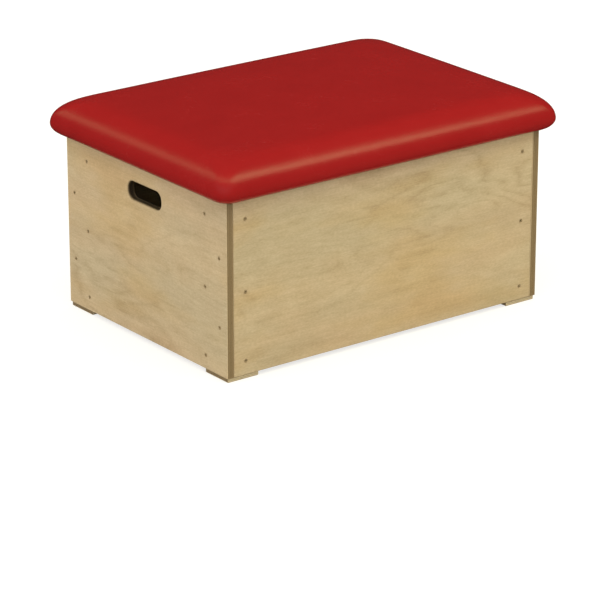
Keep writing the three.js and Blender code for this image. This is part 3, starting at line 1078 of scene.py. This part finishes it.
class VAULT_OT_foot_screws(DressOperator, bpy.types.Operator):
    """Drive two screws up through each foot"""

    bl_idname = "vaulting_box.foot_screws"
    bl_label = "Foot Screws"

    def execute(self, context):
        screws = context.scene.screws
        edge_distance, sunk = 0.024, 0.0004
        places = []
        for node in FEET:
            low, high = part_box(node)
            at = middle(low, high)
            reach = (high.x - low.x) / 2 - edge_distance
            slant = -math.copysign(1, at.x * at.y)
            for end in (-1, 1):
                point = (at.x + end * reach, at.y + slant * end * reach, low.z + sunk)
                places.append((point, (0, 0, -1)))
        drive_screws("foot_screws", places, screws.foot_screw, screws)
        return {"FINISHED"}


class VAULT_OT_rail_screws(DressOperator, bpy.types.Operator):
    """Drive the screws that hold the rails to the panels and the board to the rails"""

    bl_idname = "vaulting_box.rail_screws"
    bl_label = "Rail and Board Screws"

    def execute(self, context):
        screws = context.scene.screws
        proud = 0.0002
        long_rail = ((-0.78, -0.3, 0.3, 0.78), (-0.54, 0.54))
        short_rail = ((-0.66, 0.0, 0.66), (-0.33, 0.33))
        sideways, upwards = [], []
        for node in ("top_rail_front", "top_rail_back", "top_rail_left", "top_rail_right"):
            low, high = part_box(node)
            at = middle(low, high)
            along = 0 if node.endswith(("front", "back")) else 1
            across = 1 - along
            inwards = -math.copysign(1, at[across])
            half = (high[along] - low[along]) / 2
            to_panel, to_board = long_rail if along == 0 else short_rail
            for part in to_panel:
                point, facing = at.copy(), Vector((0, 0, 0))
                point[along] = at[along] + part * half
                point[across] = (high if inwards > 0 else low)[across] + inwards * proud
                facing[across] = inwards
                sideways.append((point, facing))
            for part in to_board:
                point = at.copy()
                point[along] = at[along] + part * half
                point.z = low.z - proud
                upwards.append((point, (0, 0, -1)))
        drive_screws("rail_screws", sideways, screws.rail_screw, screws)
        drive_screws("board_screws", upwards, screws.board_screw, screws)
        return {"FINISHED"}


def padded_form(name, pad, depth, material, **more):
    """The pad's form, a given depth beneath its outside"""
    return shaped_by(once("Padded Top", padded_top_tree), name, pad, {
        "Half Length": (COVER_HIGH.x - COVER_LOW.x) / 2,
        "Half Width": (COVER_HIGH.y - COVER_LOW.y) / 2,
        "Base Height": COVER_LOW.z,
        "Depth": depth,
        "Material": material,
        **more,
    })


class VAULT_OT_foam(DressOperator, bpy.types.Operator):
    """Shape the foam that wraps the board"""

    bl_idname = "vaulting_box.foam"
    bl_label = "Foam"

    def execute(self, context):
        pad = context.scene.padded_top
        foam = padded_form("foam_block", pad, pad.foam_depth, upholstery_foam(pad), **{"Closed Below": True})
        points = points_of(foam.data)
        points[:, 2] = np.maximum(points[:, 2], BOARD_LOW.z)
        move_points(foam.data, points)
        self.cut_pocket(foam)
        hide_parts("foam_core")
        settle(foam)
        return {"FINISHED"}

    def cut_pocket(self, foam):
        """Cuts the board's room out of the foam"""
        room, corner, start, steps = 0.0003, 0.034, 0.01, 8
        radius = corner + room
        half = Vector(((BOARD_HIGH.x - BOARD_LOW.x) / 2 + room, (BOARD_HIGH.y - BOARD_LOW.y) / 2 + room))
        outline = []
        for turn, (side_x, side_y) in enumerate(((1, 1), (-1, 1), (-1, -1), (1, -1))):
            for step in range(steps + 1):
                turned = math.radians(90 * turn + 90 * step / steps)
                outline.append((
                    side_x * (half.x - radius) + radius * math.cos(turned),
                    side_y * (half.y - radius) + radius * math.sin(turned),
                ))
        pocket = bmesh.new()
        ring = [pocket.verts.new((x, y, BOARD_LOW.z - start)) for x, y in outline]
        wall = bmesh.ops.extrude_face_region(pocket, geom=[pocket.faces.new(ring)])
        lifted = [part for part in wall["geom"] if isinstance(part, bmesh.types.BMVert)]
        bmesh.ops.translate(pocket, verts=lifted, vec=(0, 0, BOARD_HIGH.z + room - BOARD_LOW.z + start))
        bmesh.ops.recalc_face_normals(pocket, faces=pocket.faces)
        mesh = bpy.data.meshes.new("board_room")
        pocket.to_mesh(mesh)
        pocket.free()
        cutter = new_object("board_room", mesh)
        cut = foam.modifiers.new("Pocket", "BOOLEAN")
        cut.operation = "DIFFERENCE"
        cut.object = cutter
        make_plain(foam)
        bpy.data.objects.remove(cutter)


class VAULT_OT_cover(DressOperator, bpy.types.Operator):
    """Stretch the vinyl cover over the foam, fill it out and turn its hem under"""

    bl_idname = "vaulting_box.cover"
    bl_label = "Vinyl Cover"

    def execute(self, context):
        pad = context.scene.padded_top
        cover = padded_form("padded_cover", pad, pad.stretch_room, coated_fabric(pad))
        self.lower_hem(cover, pad)
        self.fill_out(context, cover, pad)
        self.gather_corners(cover, pad)
        self.thicken(cover, pad)
        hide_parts("vinyl_cover")
        settle(cover)
        return {"FINISHED"}

    def lower_hem(self, cover, pad):
        """Brings the flat hem, drawn beneath the outside, down to the carcass"""
        reach_up, share_at_hem = 2.2, 0.5454
        points = points_of(cover.data)
        height = points[:, 2] - COVER_LOW.z
        flat = np.clip(1 - height / (reach_up * pad.stretch_room), 0, 1)
        points[:, 2] -= flat * pad.stretch_room / share_at_hem
        points[:, 2] = np.maximum(points[:, 2], COVER_LOW.z)
        move_points(cover.data, points)

    def fill_out(self, context, cover, pad):
        """Lets the cover swell against its hem, and keeps each point near its cut shape"""
        last = 20
        cut = points_of(cover.data)
        held = np.empty(len(cut))
        cover.data.attributes["hem"].data.foreach_get("value", held)
        pins = cover.vertex_groups.new(name="hem")
        for index in np.flatnonzero(held > 0.5):
            pins.add([int(index)], 1.0, "REPLACE")
        cloth = cover.modifiers.new("Cloth", "CLOTH")
        cloth.settings.vertex_group_mass = "hem"
        cloth.settings.use_pressure = True
        cloth.settings.uniform_pressure_force = pad.pressure
        cloth.settings.mass = 0.4
        cloth.settings.effector_weights.gravity = 0
        cloth.collision_settings.use_collision = False
        cloth.point_cache.frame_start = 1
        cloth.point_cache.frame_end = last
        for moment in range(1, last + 1):
            context.scene.frame_set(moment)
        depsgraph = context.evaluated_depsgraph_get()
        swollen = points_of(cover.evaluated_get(depsgraph).data)
        cover.modifiers.remove(cloth)
        cover.vertex_groups.clear()
        context.scene.frame_set(1)
        moved = swollen - cut
        facing = np.empty(cut.size)
        cover.data.vertices.foreach_get("normal", facing)
        facing = facing.reshape(-1, 3)
        outwards = np.sum(moved * facing, axis=1, keepdims=True)
        # The foam beneath lets no point sink
        moved -= facing * np.minimum(outwards, 0)
        reach = np.linalg.norm(moved, axis=1, keepdims=True)
        moved *= np.minimum(1, pad.swell_limit / np.maximum(reach, 1e-9))
        move_points(cover.data, cut + moved)

    def gather_corners(self, cover, pad):
        """Folds the cover in small pleats under each corner"""
        inset, overlap, pleated_height, start, fade = 0.075, 0.02, 0.02, 0.03, 0.02
        points = points_of(cover.data)
        half = np.array(((COVER_HIGH.x - COVER_LOW.x) / 2, (COVER_HIGH.y - COVER_LOW.y) / 2))
        off = np.abs(points[:, :2]) - (half - inset)
        about = np.clip(np.arctan2(off[:, 1], off[:, 0]), 0, math.pi / 2)
        distance = np.linalg.norm(np.maximum(off, 0), axis=1)
        height = points[:, 2] - COVER_LOW.z
        inside = np.clip(np.sin(about * 2), 0, 1) ** 0.5
        low = np.clip(1 - height / pleated_height, 0, 1)
        outside = np.clip((distance - start) / fade, 0, 1)
        fold = np.sin(about * 4 * pad.pleats / 2) ** 2
        points[:, 2] -= pad.pleat_depth * fold * inside * low * outside * (off.min(axis=1) > -overlap)
        move_points(cover.data, points)

    def thicken(self, cover, pad):
        """Gives the cover one smooth subdivision, then its thickness"""
        smooth = cover.modifiers.new("Smooth", "SUBSURF")
        smooth.levels = 1
        smooth.render_levels = 1
        wall = cover.modifiers.new("Wall", "SOLIDIFY")
        wall.thickness = pad.cover_thickness
        wall.offset = -1.0
        make_plain(cover)
        cover.data.shade_smooth()


# Stage

# The way from the pad to each softbox, the way that its narrow side runs, its sides and its share of power
SOFTBOXES = {
    "softbox_right": ((0.384, -0.518, 0.765), (0.456, 0.826, 0.33), (1.55, 5.4), 1.72),
    "softbox_back": ((-0.483, 0.606, 0.632), (0.873, 0.277, 0.401), (1.2, 6.4), 0.45),
    "softbox_left": ((-0.28, -0.09, 0.955), (0.761, 0.615, 0.206), (1.1, 5.5), 0.67),
}
SOFTBOX_DISTANCE = 6.5
SOFTBOX_COLOUR = (1.0, 0.99, 0.52)
FLOOR_RADIUS = 40


class VAULT_OT_studio(DressOperator, bpy.types.Operator):
    """Lay the floor, hang the softboxes and set the camera"""

    bl_idname = "vaulting_box.studio"
    bl_label = "Studio"

    def execute(self, context):
        studio = context.scene.studio
        if studio.show_floor:
            self.lay_floor(studio)
        self.light_sky(context, studio)
        for name, (direction, across, size, share) in SOFTBOXES.items():
            self.hang_softbox(name, direction, across, size, studio.softboxes * share)
        self.set_camera(context, studio)
        context.scene.view_settings.view_transform = "Standard"
        return {"FINISHED"}

    def lay_floor(self, studio):
        """A plain white floor that keeps the box's shadow"""
        mesh = bpy.data.meshes.new("studio_floor")
        outline = bmesh.new()
        bmesh.ops.create_circle(outline, cap_ends=True, radius=FLOOR_RADIUS, segments=64)
        outline.to_mesh(mesh)
        outline.free()
        floor = new_object("studio_floor", mesh)
        finish = Finish("studio_floor")
        tree, inputs = finish.tree, finish.shader.inputs
        path = tree.nodes.new("ShaderNodeLightPath")
        seen = Field(tree, path.outputs["Is Camera Ray"])
        mirrored = Field(tree, path.outputs["Is Glossy Ray"])
        given_back = studio.bounce * (1 - mirrored * (1 - studio.reflected))
        feed(tree, inputs["Base Color"], given_back + seen * (0.9 - given_back))
        feed(tree, inputs["Roughness"], 0.9)
        feed(tree, inputs["Specular IOR Level"], 0.0)
        glow = add(tree, "ShaderNodeEmission", {"Color": (1, 0.985, 0.96, 1), "Strength": 1.22})
        mix = add(tree, "ShaderNodeMixShader", {0: seen * 0.6, 1: finish.shader, 2: glow})
        feed(tree, finish.result.inputs["Surface"], mix)
        mesh.materials.append(finish.material)

    def light_sky(self, context, studio):
        """Soft light all round, more of it from above; the camera sees plain white"""
        world = context.scene.world or bpy.data.worlds.new("studio")
        context.scene.world = world
        world.use_nodes = True
        tree = world.node_tree
        tree.nodes.clear()
        x, y, z = split(tree, tree.nodes.new("ShaderNodeTexCoord").outputs["Generated"])
        turn = studio.azimuth + studio.light_turn
        ahead = x * math.sin(turn) - y * math.cos(turn)
        level = studio.rear + ahead.ramp(-0.2, 0.6) * (studio.front - studio.rear)
        overhead = z.ramp(0.3, 0.85)
        half_way_up = z.ramp(0.12, 0.35) * (1 - z.ramp(0.6, 0.85))
        strength = level + overhead * (studio.zenith - level)
        strength = strength + half_way_up * ahead.ramp(0.0, 0.7) * studio.key
        path = tree.nodes.new("ShaderNodeLightPath")
        mirrored = Field(tree, path.outputs["Is Glossy Ray"])
        strength = strength * (1 - mirrored * (1 - studio.reflected))
        seen = Field(tree, path.outputs["Is Camera Ray"])
        strength = strength * (1 - seen) + seen
        sky = add(tree, "ShaderNodeBackground", {"Color": (1, 1, 1, 1), "Strength": strength})
        add(tree, "ShaderNodeOutputWorld", {"Surface": sky})

    def hang_softbox(self, name, direction, across, size, power):
        """A strip softbox, aimed at the pad"""
        data = bpy.data.lights.new(name, "AREA")
        data.shape = "RECTANGLE"
        data.size, data.size_y = size
        data.energy = power
        data.color = SOFTBOX_COLOUR
        lamp = new_object(name, data)
        towards = Vector(direction).normalized()
        long_way = towards.cross(Vector(across)).normalized()
        lamp.location = towards * SOFTBOX_DISTANCE + Vector((0, 0, COVER_HIGH.z))
        lamp.rotation_euler = turned_to(long_way.cross(towards), long_way, towards)

    def set_camera(self, context, studio):
        """The photograph's long lens, above the front left corner"""
        data = bpy.data.cameras.new("camera")
        camera = new_object("camera", data)
        level = math.cos(studio.elevation)
        back = Vector((
            math.sin(studio.azimuth) * level,
            -math.cos(studio.azimuth) * level,
            math.sin(studio.elevation),
        ))
        camera.location = Vector(studio.aim) + back * studio.distance
        camera.rotation_euler = back.to_track_quat("Z", "Y").to_euler()
        data.sensor_width = 36
        data.lens = studio.lens
        data.clip_end = 200
        context.scene.camera = camera


# Panel and registration

STEPS = (
    VAULT_OT_studio,
    VAULT_OT_panels,
    VAULT_OT_posts,
    VAULT_OT_rails,
    VAULT_OT_feet,
    VAULT_OT_board,
    VAULT_OT_panel_screws,
    VAULT_OT_foot_screws,
    VAULT_OT_rail_screws,
    VAULT_OT_foam,
    VAULT_OT_cover,
)


class VAULT_PT_sidebar(bpy.types.Panel):
    """The box's settings and the steps that build it"""

    bl_idname = "VAULT_PT_sidebar"
    bl_label = "Vaulting Box"
    bl_space_type = "VIEW_3D"
    bl_region_type = "UI"
    bl_category = "Vaulting Box"

    def draw(self, context):
        layout = self.layout
        for step in STEPS:
            layout.operator(step.bl_idname)
        for attribute, group in SETTINGS.items():
            box = layout.box()
            box.label(text=group.__doc__)
            for label in group.__annotations__:
                box.prop(getattr(context.scene, attribute), label)


def register():
    for kind in (*SETTINGS.values(), *STEPS, VAULT_PT_sidebar):
        bpy.utils.register_class(kind)
    for attribute, group in SETTINGS.items():
        setattr(bpy.types.Scene, attribute, PointerProperty(type=group))


def unregister():
    for attribute in SETTINGS:
        delattr(bpy.types.Scene, attribute)
    for kind in (VAULT_PT_sidebar, *reversed(STEPS), *reversed(SETTINGS.values())):
        bpy.utils.unregister_class(kind)


def clear_start():
    """Removes what a new file holds besides the frame"""
    kept = set(frame["nodes"].values()) | set(frame["bodies"].values())
    for thing in [thing for thing in bpy.data.objects if thing not in kept]:
        bpy.data.objects.remove(thing)


def main():
    register()
    clear_start()
    for step in STEPS:
        family, name = step.bl_idname.split(".")
        getattr(getattr(bpy.ops, family), name)()


if __name__ == "__main__":
    main()
